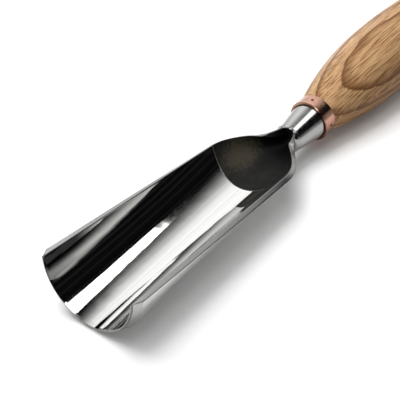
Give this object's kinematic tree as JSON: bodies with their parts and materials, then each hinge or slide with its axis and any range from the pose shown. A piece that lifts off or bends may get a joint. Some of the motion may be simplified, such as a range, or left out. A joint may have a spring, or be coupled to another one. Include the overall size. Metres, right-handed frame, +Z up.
{
  "type": "sculptor's gouge",
  "caption": "Heavy wide trough-shaped carving gouge on a turned bolster, with a square tang in an ash barrel handle behind a copper ferrule.",
  "frame": {"origin": "middle of the tool's box on the surface that it lies on, under the shoulder's end of the blade", "axes": "+X along the tool from the cutting edge towards the butt of the handle, +Z up out of the open side of the trough, +Y across"},
  "size_m": [0.29, 0.0552, 0.0387],
  "materials": {
    "blade_steel": "bright polished, with black forge scale left in the scoop under the shoulder",
    "bolster_steel": "turned and polished to a satin shine",
    "copper": "copper tube, cut and lightly polished, with punch marks",
    "ash": "turned ash with an oil and wax finish"
  },
  "bodies": {
    "root": {"blade": "blade_steel", "bolster": "bolster_steel", "ferrule": "copper", "handle": "ash"}
  },
  "joints": []
}
